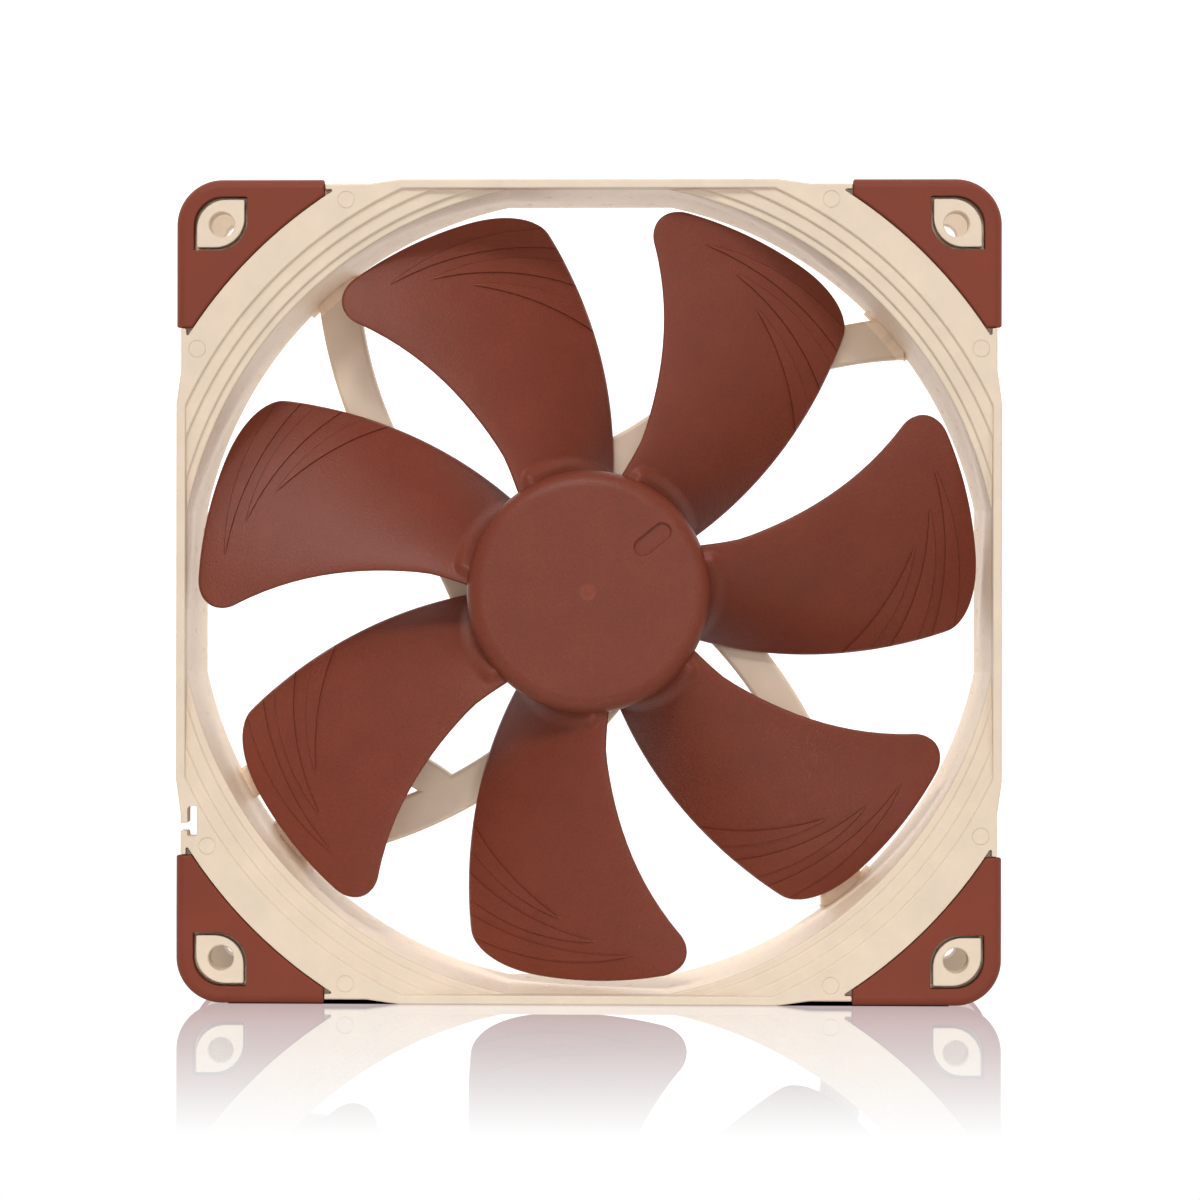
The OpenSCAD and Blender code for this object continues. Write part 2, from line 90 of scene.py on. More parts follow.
# Frame moulding
FLANGE_T = 4.0                                      # thickness of a flange
SIDE_INSET = 0.8                                    # the sides step in by this near the corners
FULL_HALF = 31.9                                    # half length of a side at full width
INSET_HALF = 37.6                                   # where the step in ends
DUCT_FRONT, DUCT_REAR, DUCT_OUT = 69.7, 69.2, 71.95
SIDE_FRONT, SIDE_REAR = 68.42, 67.72                # straight side walls, with draft
STEP_R = [75.3, 73.2, 71.0]                         # intake steps, outermost first
STEP_H = 0.65
PAD_CORNER_R = 7.8
PAD_ARC_R = 80.8
PAD_GAP = 0.15
PAD_ROUND = 1.7                                     # rounding along the pads' outer edges
BOSS_MOAT = 0.9                                     # depth of the channel round a boss
NOTCH_RIM = 0.9                                     # rim outside the notch past a pad's end
BOSS_W = 8.1
WINDOW_GAP = 0.5                                    # between a boss and the pad round it
BOSS_ROUND = 5.0
BOSS_SHIFT = 0.2                                    # bosses sit a little outside their holes

# Struts, cable arm and motor base
STRUT_W, STRUT_T, STRUT_BEND = 6.3, 3.6, 76.8
STRUT_START, STRUT_SWEEP = 94, 50                   # the upper right strut's arc about its centre
STRUT_SPREAD = 1.1                                  # a strut's inner side spreads this much at the duct
STRUT_FLARE = (0.66, 76.0)                          # where its other side flares out, and how fast
STRUT_CENTRE = (60.2, -31.6)
LIP_START, LIP_SWEEP = 36.2, 9.2                    # lips beside the root of the upper right strut
ARM_CENTRE = (-43.6, -56.7)
ARM_IN, ARM_OUT = 25.3, 31.0
ARM_START, ARM_SWEEP = 42, 90
BASE_R, BASE_RIM_IN, BASE_RIM_Z, BASE_T = 20.7, 19.5, -8.6, 1.8
SEAT_OUT, SEAT_IN, SEAT_TOP, SEAT_FLOOR = 5.2, 4.0, 3.4, -11.2     # cup that holds the bearing tube

# Impeller
BLADES = 7
HUB_R, HUB_WALL, HUB_TOP, HUB_REAR_Z = 20.75, 1.75, 1.85, -7.9
HUB_ROUND = 3.0
SPIGOT_R, SPIGOT_TOP, SPIGOT_Z, SPIGOT_OUT = 3.32, 10.22, 7.2, 5.0   # hub's socket for the bushing
ROOT_R = 19.7                                       # blades start inside the hub's wall
BLADE_IN, BLADE_OUT = 19.9, 67.5                    # radii that a blade's pitch runs between
LEAD, TRAIL = 70.7, 26.8                            # angles of a blade's edges at the hub
LEAD_SWEEP, LEAD_FORWARD = 8.45, 3.6                # forward sweep at the tip and at the hub, in degrees
LEAD_TURN_R = 28                                    # radius where one sweep ends and the other begins
TRAIL_SWEEP = 0.426                                 # sweep of the trailing edge, degrees per millimetre
TIP_R, TIP_GROWTH = 66.97, 0.4                      # tip radius at the leading side, and its growth aft
LEAD_CORNER = (0.20, 6.5, 1.8)                      # share of the chord, drop of the tip, squareness
TRAIL_CORNER = (0.30, 5.0, 2.5)
BLADE_FRONT_Z, BLADE_REAR_Z, CAMBER = 8.2, -7.0, 0.35
BLADE_HALF, BLADE_THINNING, BLADE_FALL = 1.1, 0.45, 15      # half thickness, its loss to the tip, pitch
ROOT_ROWS_R = 24.8                                  # rows of the mesh lie close together up to here
TIP_RIM = 0.55                                      # depth of the rounding along the blade tips
EDGE_RIM = 0.018                                    # the same along their other edges, of the chord
STRIP_H, STRIP_RISER = 0.34, 0.13                   # height of the raised strips, width of their edges
STRIPS = ((45.5, 49.5, 56.8), (53.5, 57.6, 60.2), (60.3, 63.7, 62.7))    # two starting radii and the tip's
STRIP_TIP, STRIP_TIP_STEP = 59.8, 6.05              # angle of the first strip's tip, and from tip to tip
COLLAR_REACH, COLLAR_R, COLLAR_H = 3.15, 2.3, 1.7

# Marks on the hub
GATE_DEEP = 0.08
POCKET_HALF, POCKET_R, POCKET_DEEP, POCKET_FLARE = 2.05, 1.45, 0.55, 0.4
POCKET_OFF, POCKET_ANGLE = 14.1, 39


# ------------------------------------------------------------------ mesh helpers

def stand(points):
    """Fan coordinates in millimetres to the frame's metres."""
    p = np.asarray(points, float)
    return np.column_stack([p[:, 0], -p[:, 2], p[:, 1]]) * MM


def turned(shape, degrees):
    """The shape turned about the rotor axis."""
    points, faces = shape
    c, s = math.cos(math.radians(degrees)), math.sin(math.radians(degrees))
    p = np.asarray(points, float)
    return np.column_stack([p[:, 0] * c - p[:, 1] * s, p[:, 0] * s + p[:, 1] * c, p[:, 2]]), faces


def moved(shape, x, y, z=0.0):
    points, faces = shape
    return np.asarray(points, float) + (x, y, z), faces


def mirrored(shape):
    """The shape mirrored from the intake side to the exhaust side."""
    points, faces = shape
    return np.asarray(points, float) * (1, 1, -1), faces


def build(name, *shapes):
    """One object made of closed shapes that don't touch each other."""
    points, faces = [], []
    for p, f in shapes:
        start = len(points)
        points.extend(stand(p).tolist())
        faces.extend(tuple(start + i for i in face) for face in f)
    mesh = bpy.data.meshes.new(name)
    mesh.from_pydata(points, [], faces)
    bm = bmesh.new()
    bm.from_mesh(mesh)
    bmesh.ops.recalc_face_normals(bm, faces=bm.faces)
    bm.to_mesh(mesh)
    bm.free()
    obj = bpy.data.objects.new(name, mesh)
    bpy.context.scene.collection.objects.link(obj)
    return obj


def combine(obj, tool, operation):
    """Adds, cuts away or keeps the overlap with tool, which is then gone."""
    mod = obj.modifiers.new(operation, "BOOLEAN")
    mod.operation = operation
    mod.solver = "MANIFOLD"
    mod.object = tool
    evaluated = obj.evaluated_get(bpy.context.evaluated_depsgraph_get())
    mesh = bpy.data.meshes.new_from_object(evaluated)
    obj.modifiers.clear()
    obj.data = mesh
    bpy.data.objects.remove(tool)
    return obj


def add(obj, *shapes):
    return combine(obj, build("tool", *shapes), "UNION")


def cut(obj, *shapes):
    return combine(obj, build("tool", *shapes), "DIFFERENCE")


def keep(obj, *shapes):
    return combine(obj, build("tool", *shapes), "INTERSECT")


def loft(rings, ends=True):
    """Closed skin through rings of equal length. Without ends the last ring joins the first."""
    n, count = len(rings[0]), len(rings)
    faces = []
    for k in range(count - 1 if ends else count):
        a, b = k * n, (k + 1) % count * n
        faces.extend((a + i, a + (i + 1) % n, b + (i + 1) % n, b + i) for i in range(n))
    if ends:
        faces.append(tuple(reversed(range(n))))
        faces.append(tuple(range((count - 1) * n, count * n)))
    return np.concatenate(rings), faces


def arc(centre, radius, start, end, steps=9):
    t = np.radians(np.linspace(start, end, steps + 1))
    return [(centre[0] + radius * c, centre[1] + radius * s) for c, s in zip(np.cos(t), np.sin(t))]


def rounded(corners, steps=9):
    """Closed outline through corners (x, y, radius), each rounded to its radius."""
    out = []
    for i, (x, y, r) in enumerate(corners):
        p = Vector((x, y))
        a = (Vector(corners[i - 1][:2]) - p).normalized()
        b = (Vector(corners[(i + 1) % len(corners)][:2]) - p).normalized()
        half = a.angle(b) / 2
        if r == 0 or half > math.radians(89.5):
            out.append((x, y))
            continue
        centre = p + (a + b).normalized() * r / math.sin(half)
        first = p + a * r / math.tan(half) - centre
        turn = first.angle_signed(p + b * r / math.tan(half) - centre)
        for k in range(steps + 1):
            out.append(tuple(centre + Matrix.Rotation(-turn * k / steps, 2) @ first))
    return out


def inset(outline, distance):
    """The counter-clockwise outline moved inwards by distance, mitred at its corners."""
    p = np.asarray(outline, float)
    edge = np.roll(p, -1, axis=0) - p
    edge /= np.linalg.norm(edge, axis=1)[:, None]
    normal = np.column_stack([-edge[:, 1], edge[:, 0]])
    before = np.roll(normal, 1, axis=0)
    mitre = (normal + before) / (1 + (normal * before).sum(1))[:, None]
    return p + mitre * distance


def at_height(outline, z):
    p = np.asarray(outline, float)
    return np.column_stack([p, np.full(len(p), z)])


def quarter(radius, steps=9):
    """(inset, depth) pairs of a rounded edge, from the flat face to the side wall."""
    t = np.radians(np.linspace(0, 90, steps + 1))
    return [(radius * (1 - math.sin(a)), radius * (1 - math.cos(a))) for a in t]


def prism(outline, low, high, round_low=0.0, round_high=0.0):
    """The outline raised from low to high, with rounded edges where a radius is given."""
    lower = [(i, low + d) for i, d in quarter(round_low)] if round_low else [(0, low)]
    upper = [(i, high - d) for i, d in reversed(quarter(round_high))] if round_high else [(0, high)]
    return loft([at_height(inset(outline, i), z) for i, z in lower + upper])


def opening(outline, low, high, flare):
    """Cutter from low up through the face at high, whose rim it rounds over by flare."""
    rings = [at_height(outline, low)]
    for t in np.radians(np.linspace(0, 90, 8)):
        rim = inset(outline, -flare * (1 - math.cos(t)))
        rings.append(at_height(rim, high - flare + flare * math.sin(t)))
    rings.append(at_height(inset(outline, -flare), high + 1))
    return loft(rings)


def lathe(profile, segments=240, ends=True):
    """The (radius, z) profile turned about the rotor axis."""
    t = np.radians(np.arange(segments) * 360 / segments)
    ring = np.column_stack([np.cos(t), np.sin(t)])
    return loft([at_height(ring * r, z) for r, z in profile], ends)


def tube(r_in, r_out, low, high):
    return lathe([(r_in, low), (r_out, low), (r_out, high), (r_in, high)], ends=False)


def four(shape):
    return [turned(shape, a) for a in (0, 90, 180, 270)]


def finish_piece(obj, body, replaces, crease=10.5):
    """Smooth shading with crisp edges, and what the piece is to the frame."""
    bm = bmesh.new()
    bm.from_mesh(obj.data)
    bmesh.ops.remove_doubles(bm, verts=bm.verts, dist=2e-7)
    bmesh.ops.dissolve_degenerate(bm, edges=bm.edges, dist=1e-6)
    bmesh.ops.dissolve_limit(bm, angle_limit=math.radians(0.03), verts=bm.verts, edges=bm.edges)
    bm.to_mesh(obj.data)
    bm.free()
    for polygon in obj.data.polygons:
        polygon.use_smooth = True
    obj.data.set_sharp_from_angle(angle=math.radians(crease))
    mod = obj.modifiers.new("normals", "WEIGHTED_NORMAL")
    mod.keep_sharp = True
    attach(obj, body)
    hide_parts(*replaces)
    return obj


# ------------------------------------------------------------------ frame moulding

def flange_outline():
    side = [
        (HALF - SIDE_INSET, HALF - SIDE_INSET, PAD_CORNER_R - SIDE_INSET),
        (INSET_HALF, HALF - SIDE_INSET, 2.0),
        (FULL_HALF, HALF, 2.0),
        (-FULL_HALF, HALF, 2.0),
        (-INSET_HALF, HALF - SIDE_INSET, 2.0),
    ]
    turns = [(1, 0), (0, 1), (-1, 0), (0, -1)]
    return rounded([(x * c - y * s, x * s + y * c, r) for c, s in turns for x, y, r in side])


def outside_arc(radius):
    """Plan of everything outside the arc at the upper right corner, as far as it is needed."""
    far = [(120 * math.cos(a), 120 * math.sin(a)) for a in np.radians((15, 45, 75))]
    return arc((0, 0), radius, 75, 15, 60) + far


def pocket_outline():
    """Pocket for the upper right pad, with the small notches past the pad's ends."""
    start, r, over = PAD_START - PAD_GAP, PAD_ARC_R - PAD_GAP, HALF + 1
    rim = HALF - SIDE_INSET - NOTCH_RIM
    tip = math.sqrt(r * r - rim * rim)
    angle = math.degrees(math.atan2(rim, tip))
    concave = arc((0, 0), r, angle, 90 - angle, 28)[1:-1]
    return rounded(
        [(over, over, 0), (start, over, 0), (start, rim, 0.2), (tip, rim, 0.25)]
        + [(x, y, 0) for x, y in concave]
        + [(rim, tip, 0.25), (rim, start, 0.2), (over, start, 0)]
    )


def boss_outline(width):
    """Leaf round a mounting hole: a square with its inner and outer corners rounded."""
    w = width / 2
    leaf = [(w, w, BOSS_ROUND), (-w, w, 0.3), (-w, -w, BOSS_ROUND), (w, -w, 0.3)]
    centre = HOLE_OFF + BOSS_SHIFT
    return rounded([(x + centre, y + centre, r) for x, y, r in leaf], steps=16)


def flange():
    return prism(flange_outline(), FRAME_Z - FLANGE_T, FRAME_Z, 0.3, 0.35)


def passage():
    """Air passage: the duct with its lip and three rounded steps."""
    e, c = 0.4, 0.25
    lip_z = FRAME_Z - 3 * STEP_H
    profile = [(DUCT_REAR + 0.4, -FRAME_Z - 1), (DUCT_REAR + 0.4, -FRAME_Z), (DUCT_REAR, -FRAME_Z + 0.4)]
    profile += arc((DUCT_FRONT + e, lip_z - e), e, 180, 90)
    for i in (2, 1, 0):
        low, r = FRAME_Z - (i + 1) * STEP_H, STEP_R[i]
        profile += arc((r - c, low + c), c, -90, 0)
        profile += arc((r + e, low + STEP_H - e), e, 180, 90)
    profile.append((STEP_R[0] + e, FRAME_Z + 1))
    return lathe(profile)


def between_sides():
    """Room between the four straight side walls, rounded off at both faces."""
    rings = []
    for sign, width in ((-1, SIDE_REAR), (1, SIDE_FRONT)):
        rows = []
        for t in np.radians(np.linspace(0, 90, 8)):
            flare = 0.3 * (1 - math.cos(t))
            rows.append((width + flare, sign * (FRAME_Z - 0.3 + 0.3 * math.sin(t))))
        rows.append((width + 0.3, sign * (FRAME_Z + 2)))
        rings += rows if sign > 0 else rows[::-1]
    square = np.array([(1, 1), (-1, 1), (-1, -1), (1, -1)], float)
    return loft([at_height(square * w, z) for w, z in rings])


def wall_radius(angle, z):
    """Distance from the axis to the duct's wall, round or straight, at an angle and height."""
    t = (z + FRAME_Z) / (2 * FRAME_Z)
    duct = DUCT_REAR + (DUCT_FRONT - DUCT_REAR) * t
    side = SIDE_REAR + (SIDE_FRONT - SIDE_REAR) * t
    return min(duct, side / max(abs(math.cos(angle)), abs(math.sin(angle))))


def blob(centre, along, axial, deep, segments=16, rings=8):
    """Small ellipsoid with its axes along the wall, along the rotor axis and into the wall."""
    angle = math.atan2(centre[1], centre[0])
    loops = []
    for v in np.linspace(0, math.pi, rings + 2)[1:-1]:
        u = np.arange(segments) * 2 * math.pi / segments
        a = along * np.sin(v) * np.cos(u)
        d = deep * np.sin(v) * np.sin(u)
        x = centre[0] + d * math.cos(angle) - a * math.sin(angle)
        y = centre[1] + d * math.sin(angle) + a * math.cos(angle)
        loops.append(np.column_stack([x, y, np.full(segments, centre[2] + axial * math.cos(v))]))
    return loft(loops)


def wall_dimples():
    """Two staggered rows of shallow dimples round the duct's wall."""
    out = []
    for row_z, shift in ((0.9, 0), (-7.4, 3)):
        for k in range(60):
            angle = math.radians(6 * k + shift)
            r = wall_radius(angle, row_z) - 0.36
            out.append(blob((r * math.cos(angle), r * math.sin(angle), row_z), 0.84, 1.33, 0.5))
    return out


def strut_section(width):
    w, z = width / 2, -FRAME_Z
    return rounded([(-w, z, 0.25), (w, z, 0.25), (w, z + STRUT_T, 0.8), (-w, z + STRUT_T, 0.8)])


def swept(section, centre, radius, start, sweep, steps):
    """The section carried along an arc about centre."""
    rings = []
    for t in np.radians(np.linspace(start, start + sweep, steps + 1)):
        rings.append([
            (centre[0] + (radius + o) * math.cos(t), centre[1] + (radius + o) * math.sin(t), z)
            for o, z in section
        ])
    return loft([np.array(r) for r in rings])


def strut():
    """The upper right strut, from the duct to the motor base, wider at both of its ends."""
    points, faces = swept(strut_section(STRUT_W), STRUT_CENTRE, STRUT_BEND, STRUT_START, STRUT_SWEEP, 60)
    out = points[:, :2] - STRUT_CENTRE
    r = np.hypot(out[:, 0], out[:, 1])
    along = (np.degrees(np.arctan2(out[:, 1], out[:, 0])) - STRUT_START) / STRUT_SWEEP
    flare_from, flare_rate = STRUT_FLARE
    inner = -STRUT_SPREAD * (1 - along) ** 2
    outer = np.minimum(flare_rate * np.maximum(along - flare_from, 0) ** 2, 4.0)
    out *= (1 + np.where(r < STRUT_BEND, inner, outer) / r)[:, None]
    points[:, :2] = out + STRUT_CENTRE
    return points, faces


def root_lips():
    """The duct's rear edge stays square for a short way on either side of each strut's root."""
    section = [(-0.6, -FRAME_Z), (1.0, -FRAME_Z), (1.0, -FRAME_Z + 2), (-0.1, -FRAME_Z + 2)]
    return [swept(section, (0, 0), DUCT_REAR + 0.1, LIP_START + 90 * k, LIP_SWEEP, 16) for k in range(4)]


def cable_notch():
    """Hook-shaped slot in the front flange, with a mouth at the side."""
    left, right, low, high = -68.0, -66.3, -41.6, -36.5
    mouth_low, mouth_high = -40.7, -39.4
    outline = rounded([
        (-HALF - 1, mouth_low, 0), (left, mouth_low, 0.3), (left, low, 0.3), (right, low, 0.3),
        (right, high, 0.5), (left, high, 0.5), (left, mouth_high, 0.3), (-HALF - 1, mouth_high, 0),
    ])
    return prism(outline, FRAME_Z - FLANGE_T - 1, FRAME_Z + 1)


def hole_cutter():
    lead = 0.18
    profile = [(HOLE_R, FRAME_Z - FLANGE_T - 1), (HOLE_R, FRAME_Z - lead), (HOLE_R + lead + 1, FRAME_Z + 1)]
    return moved(lathe(profile, 48), HOLE_OFF, HOLE_OFF)


def ejector_marks():
    """Fine round grooves left by ejector pins on the front face, two beside each corner."""
    above, beside = (41.1, 66.5), (66.4, 41.2)
    places = [(above[0] * i, above[1] * j) for i in (-1, 1) for j in (-1, 1)]
    places += [(beside[0] * i, beside[1] * j) for i in (-1, 1) for j in (-1, 1) if i > 0 or j > 0]
    places.append((-64.6, -43.2))                       # moved in, past the cable notch
    groove = lathe([(1.36, FRAME_Z + 1), (1.36, FRAME_Z - 0.1), (1.46, FRAME_Z - 0.1), (1.5, FRAME_Z + 1)],
                   40, ends=False)
    return [moved(groove, x, y) for x, y in places]


def motor_base():
    """Dished base behind the hub, with the bearing tube's seat at its middle."""
    rim_round = 0.4
    profile = [(0.5, -FRAME_Z), (BASE_R - rim_round, -FRAME_Z)]
    profile += arc((BASE_R - rim_round, -FRAME_Z + rim_round), rim_round, -90, 0)
    profile += arc((BASE_R - rim_round, BASE_RIM_Z - rim_round), rim_round, 0, 90)
    profile += [(BASE_RIM_IN, BASE_RIM_Z), (BASE_RIM_IN, -FRAME_Z + BASE_T), (SEAT_OUT, -FRAME_Z + BASE_T)]
    profile += [(SEAT_OUT, SEAT_TOP), (SEAT_IN, SEAT_TOP), (SEAT_IN, SEAT_FLOOR), (0.5, SEAT_FLOOR)]
    return lathe(profile, ends=True)


def make_frame():
    """Two flanges and the duct's barrel, hollowed out, then pockets, marks, struts and motor base."""
    obj = build("frame_moulding", flange())
    add(obj, mirrored(flange()))
    barrel = sum((arc((0, 0), DUCT_OUT, 14 + 90 * k, 76 + 90 * k, 60) for k in range(4)), [])
    add(obj, prism(barrel, -FRAME_Z + 0.5, FRAME_Z - 0.5))
    hollow = build("hollow", passage())
    keep(hollow, between_sides())
    combine(obj, hollow, "DIFFERENCE")
    cut(obj, *wall_dimples())
    for side in (lambda s: s, mirrored):
        pocket = side(opening(pocket_outline(), PAD_FLOOR_Z, FRAME_Z, 0.12))
        boss = side(prism(boss_outline(BOSS_W), PAD_FLOOR_Z - 1, FRAME_Z, 0, 0.2))
        cut(obj, *four(pocket))
        cut(obj, *four(side(prism(boss_outline(BOSS_W + 2 * WINDOW_GAP), PAD_FLOOR_Z - BOSS_MOAT, FRAME_Z))))
        add(obj, *four(boss))
        cut(obj, *four(side(hole_cutter())))
    cut(obj, cable_notch())
    cut(obj, *ejector_marks())
    struts = build("struts", *four(strut()))
    keep(struts, tube(BASE_R - 1, DUCT_OUT - 0.5, -FRAME_Z - 1, FRAME_Z))
    section, mid = strut_section(ARM_OUT - ARM_IN), (ARM_IN + ARM_OUT) / 2
    arm = build("arm", swept(section, ARM_CENTRE, mid, ARM_START, ARM_SWEEP, 60))
    keep(arm, tube(BASE_R - 1, DUCT_OUT - 0.5, -FRAME_Z - 1, FRAME_Z))
    combine(struts, arm, "UNION")
    combine(obj, struts, "UNION")
    add(obj, *root_lips())
    add(obj, motor_base())
    label_recess = lathe([(LABEL_R + 0.1, -FRAME_Z - 1), (LABEL_R + 0.1, -FRAME_Z + 0.2)], 120)
    cut(obj, label_recess)
    return finish_piece(obj, "housing", ["frame"])


# ------------------------------------------------------------------ corner pads

def make_pad(node, corner, side):
    """A soft pad with rounded outer edges and a leaf-shaped window round its hole."""
    start, far = PAD_START, HALF
    corners = [(start, far, 0.5), (start, start, 0), (far, start, 0.5), (far, far, PAD_CORNER_R)]
    plan = rounded(corners, steps=16)
    softened = rounded([(0, far, 0), (0, 0, 0), (far, 0, 0), (far, far, PAD_CORNER_R)], steps=24)
    place = (lambda s: s) if side > 0 else mirrored
    shapes = [
        prism(plan, PAD_FLOOR_Z, FACE_Z, 0.3, 0.45),
        prism(softened, PAD_FLOOR_Z - 1, FACE_Z + 0.01, 0, PAD_ROUND),
        prism(outside_arc(PAD_ARC_R), PAD_FLOOR_Z - 1, FACE_Z + 0.02, 0, 0.5),
        opening(boss_outline(BOSS_W + 2 * WINDOW_GAP), PAD_FLOOR_Z - 1, FACE_Z, 0.15),
    ]
    block, sides, outside, window = (place(turned(shape, 90 * corner)) for shape in shapes)
    obj = build(node + "_moulding", block)
    keep(obj, sides)
    keep(obj, outside)
    cut(obj, window)
    return finish_piece(obj, "housing", [node])


# ------------------------------------------------------------------ impeller

def lead_angle(r):
    """Angle of the leading edge, which sweeps forward toward the tip and again at the hub."""
    outward = LEAD_SWEEP * (np.maximum(0, r - LEAD_TURN_R) / 32) ** 1.7
    inward = LEAD_FORWARD * (np.clip(LEAD_TURN_R - r, 0, 8.2) / 7.6) ** 1.6
    return LEAD + outward + inward


def trail_angle(r):
    return TRAIL + TRAIL_SWEEP * (r - BLADE_IN)


def corner_drop(x, share, height, power):
    """Drop of the tip at a rounded corner, which takes up a share of the chord from x = 0."""
    x = np.clip(x / share, 0, 1)
    return height * (1 - (1 - (1 - x) ** power) ** (1 / power))


def tip_radius(u):
    """Radius of the tip from the leading edge, u = 0, to the trailing edge, u = 1."""
    lead, trail = corner_drop(u, *LEAD_CORNER), corner_drop(1 - u, *TRAIL_CORNER)
    return TIP_R + TIP_GROWTH * u - lead - trail


def smooth_step(x):
    x = np.clip(x, 0, 1)
    return x * x * (3 - 2 * x)


def quarter_round(x):
    """Rises from 0 at x = 0 to 1 at x = 1, like a quarter circle."""
    return np.sqrt(1 - (1 - np.clip(x, 0, 1)) ** 2)


def blade_angle(r, u):
    return lead_angle(r) + (trail_angle(r) - lead_angle(r)) * u


def strip_edges(u):
    """Radius and height of the inner and outer edges of three thin raised strips, column by column.

    The strips start at the trailing edge and taper to a point; past it their edges run on together.
    """
    out = []
    for k, (inner, outer, tip) in enumerate(STRIPS):
        tip_angle = STRIP_TIP + STRIP_TIP_STEP * k
        bows = (0.0, 0.6) if k == 0 else (0.4, 0.85)
        for start, bow, side in ((inner, bows[0], -1), (outer, bows[1], 1)):
            first = trail_angle(start)
            r = np.full_like(u, start)
            for _ in range(20):
                t = (blade_angle(r, u) - first) / (tip_angle - first)
                on = np.clip(t, 0, 1)
                r = start + (tip - start) * on + bow * 4 * on * (1 - on)
                r += 0.05 * side + 1.2 * np.maximum(t - 1, 0)
            out.append((r, STRIP_H * smooth_step((1 - t) / 0.08)))
    return out


def root_collar(u, r, chord):
    """Lobe where the front of a blade meets the hub: a blunt nose at the leading side, fading aft."""
    reach = COLLAR_REACH * np.sqrt(1 - np.clip((u - 0.4) / 0.58, 0, 0.999) ** 2)
    from_rim = np.clip(COLLAR_R - (reach - (r - HUB_R)), 0, None)
    from_lead = np.clip(COLLAR_R - (u - 0.055) * chord, 0, None)
    inside = COLLAR_R - np.sqrt(from_rim ** 2 + from_lead ** 2)
    fade = 1 - 0.75 * np.clip((u - 0.1) / 0.9, 0, 1)
    return COLLAR_H * fade * smooth_step(inside / COLLAR_R)


def blade_rows(u):
    """Radii of the rows of a blade's mesh, with the height of the raised strips along each."""
    top = tip_radius(u)
    flat = np.zeros_like(u)
    edges = strip_edges(u)
    half = STRIP_RISER / 2
    keys = [(np.full_like(u, ROOT_R), flat, 1), (np.full_like(u, ROOT_ROWS_R), flat, 24)]
    for k in range(3):
        (inner, h_in), (outer, h_out) = edges[2 * k: 2 * k + 2]
        mid = (inner + outer) / 2
        keys.append((inner - half, flat, 14 if k == 0 else 3))
        keys.append((np.minimum(inner + half, mid - 0.01), h_in, 1))
        keys.append((np.maximum(outer - half, mid + 0.01), h_out, 3))
        keys.append((outer + half, flat, 1))
    keys.append((top - TIP_RIM, flat, 3))
    limit = top - TIP_RIM
    keys = [(np.minimum(r, limit - 0.04 * (len(keys) - 1 - i)), h, n) for i, (r, h, n) in enumerate(keys)]
    radii, lifts = [keys[0][0]], [flat]
    for (r0, h0, _), (r1, h1, n) in zip(keys, keys[1:]):
        for t in np.linspace(0, 1, n + 1)[1:]:
            radii.append(r0 + (r1 - r0) * t)
            lifts.append(h0 + (h1 - h0) * t)
    for a in np.radians(np.linspace(0, 90, 6))[1:]:
        radii.append(top - TIP_RIM * (1 - math.sin(a)))
        lifts.append(flat)
    return np.array(radii), np.array(lifts)


def blade():
    """One blade, cambered and pitched, with rounded edges, raised strips and a collar at its root."""
    rim = EDGE_RIM * (1 - np.cos(np.radians(np.linspace(0, 90, 6))))[:-1]
    u = np.concatenate([rim, np.linspace(EDGE_RIM, 1 - EDGE_RIM, 54), 1 - rim[::-1]])
    r, lift = blade_rows(u)
    u = np.broadcast_to(u, r.shape)
    span = (r - BLADE_IN) / (BLADE_OUT - BLADE_IN)
    angle = np.radians(blade_angle(r, u))
    chord = np.radians(lead_angle(r) - trail_angle(r)) * r
    fall = (1 - CAMBER) * u + CAMBER * u * u
    z = (BLADE_FRONT_Z - 0.4 * span) * (1 - fall) + (BLADE_REAR_Z + 0.8 * span) * fall
    half = (BLADE_HALF - BLADE_THINNING * span) * (4 * u * (1 - u)).clip(1e-6) ** 0.35 * (1.15 - 0.45 * u)
    half = np.maximum(0.35, half) / np.cos(np.arctan(BLADE_FALL / chord))
    edges = quarter_round(u / EDGE_RIM) * quarter_round((1 - u) / EDGE_RIM)
    edges = edges * quarter_round((tip_radius(u) - r) / TIP_RIM)
    front = z + (half + lift + root_collar(u, r, chord)) * edges
    rear = z - half * edges

    index = np.arange(r.size).reshape(r.shape)
    rear_index = index + r.size
    for edge in (np.s_[:, 0], np.s_[:, -1], np.s_[-1, :]):
        rear_index[edge] = index[edge]
    x, y = r * np.cos(angle), r * np.sin(angle)
    points = np.concatenate([np.column_stack([x.ravel(), y.ravel(), h.ravel()]) for h in (front, rear)])
    faces = []
    for grid in (index, rear_index[:, ::-1]):
        corners = (grid[:-1, :-1], grid[:-1, 1:], grid[1:, 1:], grid[1:, :-1])
        faces.extend(np.stack(corners, -1).reshape(-1, 4).tolist())
    root = (index[0, 1:], index[0, :-1], rear_index[0, :-1], rear_index[0, 1:])
    faces.extend(np.stack(root, -1).tolist())
    faces = [tuple(dict.fromkeys(face)) for face in faces]
    used = sorted({i for face in faces for i in face})
    renumber = {old: new for new, old in enumerate(used)}
    return points[used], [tuple(renumber[i] for i in face) for face in faces if len(face) > 2]


